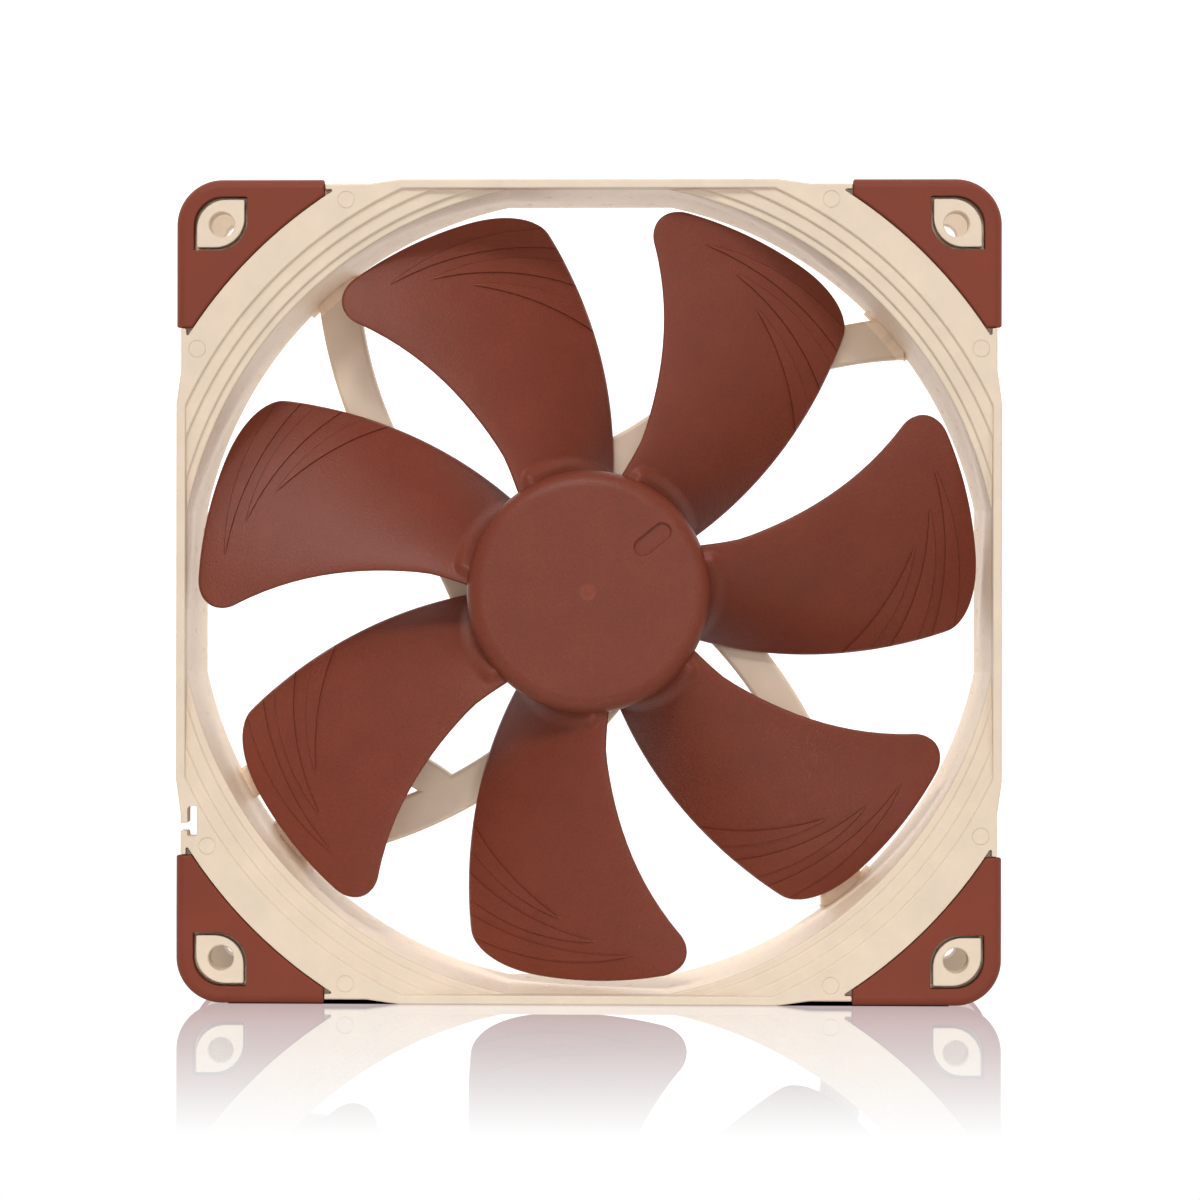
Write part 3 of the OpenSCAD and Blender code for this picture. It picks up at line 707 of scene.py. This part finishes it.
def hub():
    """Cup with a rounded rim, open to the rear, with a socket for the shaft's bushing inside."""
    e, inner = HUB_ROUND, HUB_R - HUB_WALL
    ceiling = HUB_FACE_Z - HUB_TOP
    profile = [(SPIGOT_R, SPIGOT_TOP), (SPIGOT_R, SPIGOT_Z), (SPIGOT_OUT, SPIGOT_Z), (SPIGOT_OUT, ceiling)]
    profile += [(inner, ceiling), (inner, HUB_REAR_Z)]
    profile += arc((HUB_R - 0.4, HUB_REAR_Z + 0.4), 0.4, -90, 0)
    profile += arc((HUB_R - e, HUB_FACE_Z - e), e, 0, 90, 24)
    return lathe(profile)


def hub_marks():
    """Gate ring at the centre, and the oblong pocket near the rim."""
    top = HUB_FACE_Z
    ring = lathe([
        (0.3, top + 1), (0.4, top - 0.04), (0.7, top - GATE_DEEP),
        (1.25, top - GATE_DEEP), (1.45, top), (1.5, top + 1),
    ], 64, ends=False)
    stadium = arc((POCKET_HALF, 0), POCKET_R, -90, 90, 16) + arc((-POCKET_HALF, 0), POCKET_R, 90, 270, 16)
    pocket = moved(opening(stadium, top - POCKET_DEEP, top, POCKET_FLARE), POCKET_OFF, 0)
    return ring, turned(pocket, POCKET_ANGLE)


def make_impeller():
    """Hub and blades as one moulding."""
    obj = build("impeller_moulding", hub())
    cut(obj, *hub_marks())
    add(obj, *[turned(blade(), k * 360 / BLADES) for k in range(BLADES)])
    return finish_piece(obj, "rotor", ["impeller"], crease=24)


# ------------------------------------------------------------------ materials

def srgb(r, g, b):
    """Linear colour from 8-bit screen values."""
    def linear(v):
        v /= 255
        return v / 12.92 if v <= 0.04045 else ((v + 0.055) / 1.055) ** 2.4
    return (linear(r), linear(g), linear(b), 1.0)


class Nodes:
    """A material's node tree, with short calls for the nodes used here."""

    def __init__(self, name):
        self.material = bpy.data.materials.new(name)
        self.material.use_nodes = True
        self.tree = self.material.node_tree
        self.shader = self.tree.nodes["Principled BSDF"]
        self.coords = self.tree.nodes.new("ShaderNodeTexCoord").outputs["Object"]

    def link(self, source, target):
        self.tree.links.new(source, target)

    def noise(self, scale, detail=3.0, rough=0.5, coords=None):
        node = self.tree.nodes.new("ShaderNodeTexNoise")
        node.inputs["Scale"].default_value = scale
        node.inputs["Detail"].default_value = detail
        node.inputs["Roughness"].default_value = rough
        self.link(coords or self.coords, node.inputs["Vector"])
        return node.outputs["Fac"]

    def ramp(self, source, low, high, start=0.3, end=0.7):
        node = self.tree.nodes.new("ShaderNodeValToRGB")
        node.color_ramp.elements[0].position = start
        node.color_ramp.elements[1].position = end
        node.color_ramp.elements[0].color = low
        node.color_ramp.elements[1].color = high
        self.link(source, node.inputs["Fac"])
        return node.outputs["Color"]

    def stops(self, source, stops):
        node = self.tree.nodes.new("ShaderNodeValToRGB")
        elements = node.color_ramp.elements
        elements[1].position = stops[-1][0]
        for position, _ in stops[1:-1]:
            elements.new(position)
        for element, (_, colour) in zip(elements, stops):
            element.color = colour
        self.link(source, node.inputs["Fac"])
        return node.outputs["Color"]

    def span(self, source, low, high, start=0.3, end=0.7):
        node = self.tree.nodes.new("ShaderNodeMapRange")
        node.inputs["From Min"].default_value = start
        node.inputs["From Max"].default_value = end
        node.inputs["To Min"].default_value = low
        node.inputs["To Max"].default_value = high
        self.link(source, node.inputs["Value"])
        return node.outputs["Result"]

    def bump(self, source, distance, strength=1.0, under=None):
        node = self.tree.nodes.new("ShaderNodeBump")
        node.inputs["Distance"].default_value = distance
        node.inputs["Strength"].default_value = strength
        self.link(source, node.inputs["Height"])
        if under is not None:
            self.link(under, node.inputs["Normal"])
        return node.outputs["Normal"]

    def math(self, operation, a, b=0.0):
        node = self.tree.nodes.new("ShaderNodeMath")
        node.operation = operation
        for socket, value in zip(node.inputs, (a, b)):
            if hasattr(value, "links"):
                self.link(value, socket)
            else:
                socket.default_value = value
        return node.outputs[0]

    def set(self, **values):
        for name, value in values.items():
            socket = self.shader.inputs[name.replace("_", " ")]
            if hasattr(value, "links"):
                self.link(value, socket)
            else:
                socket.default_value = value


def shade(colour, factor):
    """The colour made darker or paler."""
    return tuple(c * factor for c in colour[:3]) + (1.0,)


def moulded_plastic(name, colour, rough, grain_deep, vary=0.05, specular=0.4):
    """Matt moulded plastic: faint cloudiness, spark-eroded grain and uneven gloss."""
    n = Nodes(name)
    clouds = n.noise(160, 4, 0.6)
    grain = n.noise(3200, 2, 0.6)
    n.set(
        Base_Color=n.ramp(clouds, shade(colour, 1 - vary), shade(colour, 1 + vary)),
        Roughness=n.span(grain, rough - 0.06, rough + 0.06),
        Specular_IOR_Level=specular,
        Normal=n.bump(grain, grain_deep),
    )
    return n.material


def axial_coordinates(n):
    """Distance from the rotor axis, angle about it and height along it, all from object space."""
    split = n.tree.nodes.new("ShaderNodeSeparateXYZ")
    n.link(n.coords, split.inputs[0])
    x, y, z = split.outputs
    radius = n.math("SQRT", n.math("ADD", n.math("POWER", x, 2.0), n.math("POWER", z, 2.0)))
    return radius, n.math("ARCTAN2", z, x), n.math("MULTIPLY", y, -1.0)


def frame_plastic(name, colour):
    """Matt frame plastic that turns glossier and finely streaked inside the duct, where its colour is also
    made paler as painted light on the duct's wall.
    """
    n = Nodes(name)
    radius, angle, height = axial_coordinates(n)
    # The duct's wall, by its radius, its height and the straight sides' distance from the axis
    within = n.math("MULTIPLY", n.span(radius, 0, 1, 0.0674, 0.0676), n.span(radius, 1, 0, 0.0702, 0.0704))
    within = n.math("MULTIPLY", within, n.span(height, 1, 0, 0.0096, 0.0099))
    across = [n.math("ABSOLUTE", n.math(axis, angle)) for axis in ("COSINE", "SINE")]
    across = n.math("MULTIPLY", radius, n.math("MAXIMUM", *across))
    within = n.math("MULTIPLY", within, n.span(across, 1, 0, 0.0689, 0.0691))
    duct = n.math("MULTIPLY", within, n.span(height, 0, 1, -0.0120, -0.0118))
    duct_r, stretch = 0.07, 0.4                         # the streaks run round the duct
    unrolled = n.tree.nodes.new("ShaderNodeCombineXYZ")
    n.link(n.math("MULTIPLY", angle, duct_r * stretch), unrolled.inputs[0])
    n.link(height, unrolled.inputs[1])
    streaks = n.noise(1500, 3, 0.65, unrolled.outputs[0])
    clouds = n.noise(160, 4, 0.6)
    grain = n.noise(3200, 2, 0.6)
    streaked = n.math("MULTIPLY", n.math("SUBTRACT", streaks, 0.5), n.math("MULTIPLY", duct, 1.6))
    tone_and_painted_light = n.math("ADD", n.math("MULTIPLY", clouds, 0.5), n.math("MULTIPLY", streaked, 0.8))
    # Painted light: the duct's wall is made paler and warmer, for the light that falls on it
    tone_and_painted_light = n.math("ADD", tone_and_painted_light, n.math("MULTIPLY", duct, 0.55))
    paler = (min(colour[0] * 1.24, 0.92), colour[1] * 1.21, colour[2] * 1.18, 1.0)
    n.set(
        Base_Color=n.ramp(tone_and_painted_light, shade(colour, 0.875), paler, 0.05, 0.85),
        Roughness=n.math("SUBTRACT", 0.5, n.math("MULTIPLY", duct, 0.1)),
        Specular_IOR_Level=n.math("SUBTRACT", 0.3, n.math("MULTIPLY", duct, 0.18)),
        Normal=n.bump(streaked, 0.00008, under=n.bump(grain, 0.00001)),
    )
    return n.material


def grained_plastic(name, colour):
    """Impeller plastic with a visible grain, and painted sheen: paler on the hub's face where the gate was,
    for the shine of its smooth dish.
    """
    n = Nodes(name)
    radius, _, height = axial_coordinates(n)
    clouds = n.noise(130, 4, 0.6)
    grain = n.noise(2600, 3, 0.75)
    # Painted sheen: the colour is made paler within the gate's dish on the hub's face
    gate = n.span(radius, 1, 0, 0.0012, 0.0016)
    front = n.span(height, 0, 1, 0.0105, 0.0108)
    tone_and_painted_light = n.math("ADD", n.math("MULTIPLY", clouds, 0.35), n.math("MULTIPLY", grain, 0.65))
    tone_and_painted_light = n.math("ADD", tone_and_painted_light, n.math("MULTIPLY", n.math("MULTIPLY", gate, front), 0.35))
    n.set(
        Base_Color=n.ramp(tone_and_painted_light, shade(colour, 0.80), shade(colour, 1.28), 0.34, 1.0),
        Roughness=n.span(grain, 0.30, 0.46),
        Specular_IOR_Level=0.23,
        Normal=n.bump(grain, 0.00007),
    )
    return n.material


def silicone(name, colour):
    """Satin silicone rubber, with a soft bloom over fine pores."""
    n = Nodes(name)
    bloom = n.noise(120, 3, 0.5)
    pores = n.noise(2600, 2, 0.7)
    n.set(
        Base_Color=n.ramp(bloom, shade(colour, 0.95), shade(colour, 1.06)),
        Roughness=n.span(bloom, 0.5, 0.6),
        Specular_IOR_Level=0.2,
        Normal=n.bump(pores, 0.000012),
    )
    return n.material


def metal(name, colour, rough, brushed=(1, 1, 60), deep=0.000004):
    """Metal with turning or drawing marks; brushed stretches them."""
    n = Nodes(name)
    mapping = n.tree.nodes.new("ShaderNodeMapping")
    mapping.inputs["Scale"].default_value = brushed
    n.link(n.coords, mapping.inputs["Vector"])
    marks = n.noise(900, 3, 0.6, mapping.outputs["Vector"])
    n.set(
        Metallic=1.0,
        Base_Color=n.ramp(marks, shade(colour, 0.86), shade(colour, 1.08)),
        Roughness=n.span(marks, rough - 0.07, rough + 0.1),
        Normal=n.bump(marks, deep),
    )
    return n.material


def windings(name, colour):
    """Enamelled wire laid side by side."""
    n = Nodes(name)
    wave = n.tree.nodes.new("ShaderNodeTexWave")
    wave.bands_direction = "DIAGONAL"
    wave.inputs["Scale"].default_value = 900
    wave.inputs["Distortion"].default_value = 1.5
    n.link(n.coords, wave.inputs["Vector"])
    turns = wave.outputs["Fac"]
    n.set(
        Metallic=0.9,
        Base_Color=n.ramp(turns, shade(colour, 0.45), colour, 0.1, 0.6),
        Roughness=0.3,
        Coat_Weight=0.4,
        Normal=n.bump(turns, 0.00008),
    )
    return n.material


def solder_mask(name, colour):
    """Board lacquer over copper tracks."""
    n = Nodes(name)
    tracks = n.tree.nodes.new("ShaderNodeTexBrick")
    tracks.inputs["Scale"].default_value = 420
    tracks.inputs["Mortar Size"].default_value = 0.035
    n.link(n.coords, tracks.inputs["Vector"])
    lines = tracks.outputs["Fac"]
    n.set(
        Base_Color=n.ramp(lines, colour, shade(colour, 1.7), 0.2, 0.8),
        Roughness=n.span(n.noise(700), 0.25, 0.35),
        Normal=n.bump(lines, 0.00003),
    )
    return n.material


MATERIALS = {
    "frame": frame_plastic("frame_plastic", srgb(223, 204, 182)),
    "pads": silicone("pad_silicone", srgb(121, 55, 37)),
    "impeller": grained_plastic("impeller_plastic", srgb(120, 56, 39)),
    "brass": metal("brass", (0.72, 0.55, 0.28, 1), 0.3),
    "bronze": metal("sintered_bronze", (0.5, 0.34, 0.18, 1), 0.5, (1, 1, 1), 0.00001),
    "nylon": moulded_plastic("nylon", (0.8, 0.78, 0.7, 1), 0.4, 0.000008),
    "black_plastic": moulded_plastic("black_plastic", (0.02, 0.02, 0.022, 1), 0.45, 0.000015),
    "core_steel": metal("laminations", (0.45, 0.46, 0.48, 1), 0.38, (1, 60, 1), 0.00002),
    "yoke_steel": metal("drawn_steel", (0.55, 0.56, 0.58, 1), 0.3, (1, 40, 1)),
    "shaft_steel": metal("ground_steel", (0.7, 0.71, 0.73, 1), 0.15, (1, 80, 1)),
    "copper": windings("copper_wire", (0.62, 0.25, 0.12, 1)),
    "ferrite": moulded_plastic("ferrite", (0.05, 0.05, 0.055, 1), 0.6, 0.00003, 0.15),
    "board": solder_mask("board_lacquer", (0.02, 0.16, 0.07, 1)),
    "components": moulded_plastic("ceramic", (0.35, 0.26, 0.17, 1), 0.35, 0.00001, 0.2),
    "solder": metal("solder", (0.75, 0.76, 0.78, 1), 0.25, (1, 1, 1)),
    "label": metal("label_foil", (0.72, 0.72, 0.74, 1), 0.4, (1, 1, 30)),
}

NODE_SLOTS = {
    "bearing_tube": "brass", "shaft_bushing": "brass", "sleeve_bearing": "bronze",
    "thrust_pad": "black_plastic", "driver_chip": "black_plastic",
    "oil_seal": "nylon", "front_insulator": "nylon", "rear_insulator": "nylon", "retaining_clip": "nylon",
    "stator_core": "core_steel", "rotor_yoke": "yoke_steel", "shaft": "shaft_steel",
    "coil_a": "copper", "coil_b": "copper", "coil_c": "copper", "coil_d": "copper",
    "rotor_magnet": "ferrite", "circuit_board": "board", "board_components": "components",
    "winding_pins": "solder", "cable_solder_pads": "solder", "rear_label": "label",
}


def paint(obj, slot):
    obj.data.materials.clear()
    obj.data.materials.append(MATERIALS[slot])


# ------------------------------------------------------------------ stage

def make_camera():
    """Camera in front of the intake, a little above and to the right of the axis."""
    distance, eye_x, eye_height = 0.545, 0.0075, 0.074
    yaw, roll = 1.24, 0.073
    data = bpy.data.cameras.new("camera")
    data.sensor_width = 36
    data.lens = 96.55
    data.shift_x = 0.03116
    data.shift_y = -0.02641
    data.clip_start = 0.01
    camera = bpy.data.objects.new("camera", data)
    camera.location = (eye_x, -FRAME_Z * MM - distance, cad_low.z + eye_height)
    turn = Matrix.Rotation(math.radians(yaw), 3, "Z") @ Matrix.Rotation(math.radians(90), 3, "X")
    camera.rotation_euler = (turn @ Matrix.Rotation(math.radians(roll), 3, "Z")).to_euler()
    bpy.context.scene.collection.objects.link(camera)
    bpy.context.scene.camera = camera


def make_floor():
    """White glossy floor: a clear reflection by the fan that fades out over a hand's breadth."""
    mesh = bpy.data.meshes.new("floor")
    size, z = 3.0, cad_low.z - 0.00003
    corners = [(-size, -size, z), (size, -size, z), (size, size, z), (-size, size, z)]
    mesh.from_pydata(corners, [], [(0, 1, 2, 3)])
    floor = bpy.data.objects.new("floor", mesh)
    bpy.context.scene.collection.objects.link(floor)
    n = Nodes("floor")
    tree = n.tree

    split = tree.nodes.new("ShaderNodeSeparateXYZ")
    n.link(n.coords, split.inputs[0])
    past = []
    for axis, edge in (("X", cad_high.x), ("Y", cad_high.y)):
        outside = n.math("SUBTRACT", n.math("ABSOLUTE", split.outputs[axis]), edge)
        past.append(n.math("MAXIMUM", outside, 0.0))
    distance = n.math("SQRT", n.math("ADD", n.math("POWER", past[0], 2.0), n.math("POWER", past[1], 2.0)))
    mirror = n.stops(n.math("DIVIDE", distance, 0.125), (
        (0.0, (0.53, 0.61, 0.60, 1)),
        (0.05, (0.53, 0.59, 0.59, 1)),
        (0.2, (0.47, 0.51, 0.50, 1)),
        (0.4, (0.40, 0.42, 0.42, 1)),
        (0.68, (0.24, 0.25, 0.25, 1)),
        (1.0, (0, 0, 0, 1)),
    ))
    # Painted shadow: dark where the fan stands, and dim farther in between its two flanges
    stand_x, stand_y = 0.061, (FRAME_Z - 0.8) * MM
    beside = n.math("SUBTRACT", n.math("ABSOLUTE", split.outputs["X"]), stand_x)
    before = n.math("SUBTRACT", n.math("ABSOLUTE", split.outputs["Y"]), stand_y)
    contact = n.math("MAXIMUM", n.math("MAXIMUM", beside, before), 0.0)
    clear = n.math("MINIMUM", n.math("DIVIDE", contact, 0.0003), 1.0)
    inward = n.math("ABSOLUTE", split.outputs["Y"])
    clear = n.math("MAXIMUM", clear, n.span(inward, 0.55, 0, 0.0035, 0.0065))

    light = tree.nodes.new("ShaderNodeLightPath")
    behind = n.span(split.outputs["Y"], 0.6, 1.3, -0.05, 0.25)
    rest = tree.nodes.new("ShaderNodeInvert")
    n.link(mirror, rest.inputs["Color"])
    glow = tree.nodes.new("ShaderNodeEmission")
    n.link(rest.outputs[0], glow.inputs["Color"])
    n.link(n.math("MAXIMUM", light.outputs["Is Camera Ray"], behind), glow.inputs["Strength"])
    gloss = tree.nodes.new("ShaderNodeBsdfGlossy")
    gloss.inputs["Roughness"].default_value = 0.0
    n.link(mirror, gloss.inputs["Color"])
    both = tree.nodes.new("ShaderNodeAddShader")
    n.link(glow.outputs[0], both.inputs[0])
    n.link(gloss.outputs[0], both.inputs[1])
    # Unlit black for the painted shadow under the fan
    painted_shadow = tree.nodes.new("ShaderNodeEmission")
    painted_shadow.inputs["Strength"].default_value = 0.0
    mix = tree.nodes.new("ShaderNodeMixShader")
    n.link(clear, mix.inputs[0])
    n.link(painted_shadow.outputs[0], mix.inputs[1])
    n.link(both.outputs[0], mix.inputs[2])
    n.link(mix.outputs[0], tree.nodes["Material Output"].inputs["Surface"])
    floor.data.materials.append(n.material)


def make_studio():
    """White backdrop behind the fan, a dimmer room in front of it, and four soft lamps."""
    world = bpy.data.worlds.new("studio")
    bpy.context.scene.world = world
    world.use_nodes = True
    tree = world.node_tree
    background = tree.nodes["Background"]
    coords = tree.nodes.new("ShaderNodeTexCoord")
    split = tree.nodes.new("ShaderNodeSeparateXYZ")
    tree.links.new(coords.outputs["Generated"], split.inputs[0])
    front = tree.nodes.new("ShaderNodeMath")
    front.operation = "MULTIPLY_ADD"
    front.inputs[1].default_value = 0.35
    front.inputs[2].default_value = 0.335
    square = tree.nodes.new("ShaderNodeMath")
    square.operation = "MULTIPLY"
    tree.links.new(split.outputs["Z"], square.inputs[0])
    tree.links.new(split.outputs["Z"], square.inputs[1])
    tree.links.new(square.outputs[0], front.inputs[0])
    depth = tree.nodes.new("ShaderNodeMapRange")
    depth.interpolation_type = "SMOOTHSTEP"
    depth.inputs["From Min"].default_value = -0.3
    depth.inputs["From Max"].default_value = 0.15
    tree.links.new(front.outputs[0], depth.inputs["To Min"])
    depth.inputs["To Max"].default_value = 1.45
    tree.links.new(split.outputs["Y"], depth.inputs["Value"])
    light = tree.nodes.new("ShaderNodeLightPath")
    seen = tree.nodes.new("ShaderNodeMath")
    seen.operation = "MAXIMUM"
    tree.links.new(light.outputs["Is Camera Ray"], seen.inputs[0])
    tree.links.new(depth.outputs["Result"], seen.inputs[1])
    tree.links.new(seen.outputs[0], background.inputs["Strength"])
    background.inputs["Color"].default_value = (1, 1, 1, 1)

    for name, place, size, power in (
        ("overhead", (-0.08, -0.95, 0.8), 0.18, 4.6),
        ("key", (-0.35, -0.8, 0.9), 0.4, 2.9),
        ("front", (0.0, -1.3, 0.12), 0.45, 2.7),
        ("side", (0.6, -0.85, 0.1), 0.3, 1.15),
    ):
        data = bpy.data.lights.new(name, "AREA")
        data.shape = "SQUARE"
        data.size = size
        data.energy = power
        lamp = bpy.data.objects.new(name, data)
        lamp.location = place
        lamp.rotation_euler = (-Vector(place)).to_track_quat("-Z", "Y").to_euler()
        bpy.context.scene.collection.objects.link(lamp)
    bpy.context.scene.view_settings.view_transform = "Standard"


# ------------------------------------------------------------------ the fan

make_camera()
make_studio()
make_floor()

paint(make_frame(), "frame")
for end, side in (("intake", 1), ("exhaust", -1)):
    for corner, place in enumerate(("top_right", "top_left", "bottom_left", "bottom_right")):
        paint(make_pad(f"{end}_pad_{place}", corner, side), "pads")
paint(make_impeller(), "impeller")
for node, slot in NODE_SLOTS.items():
    paint(frame["nodes"][node], slot)
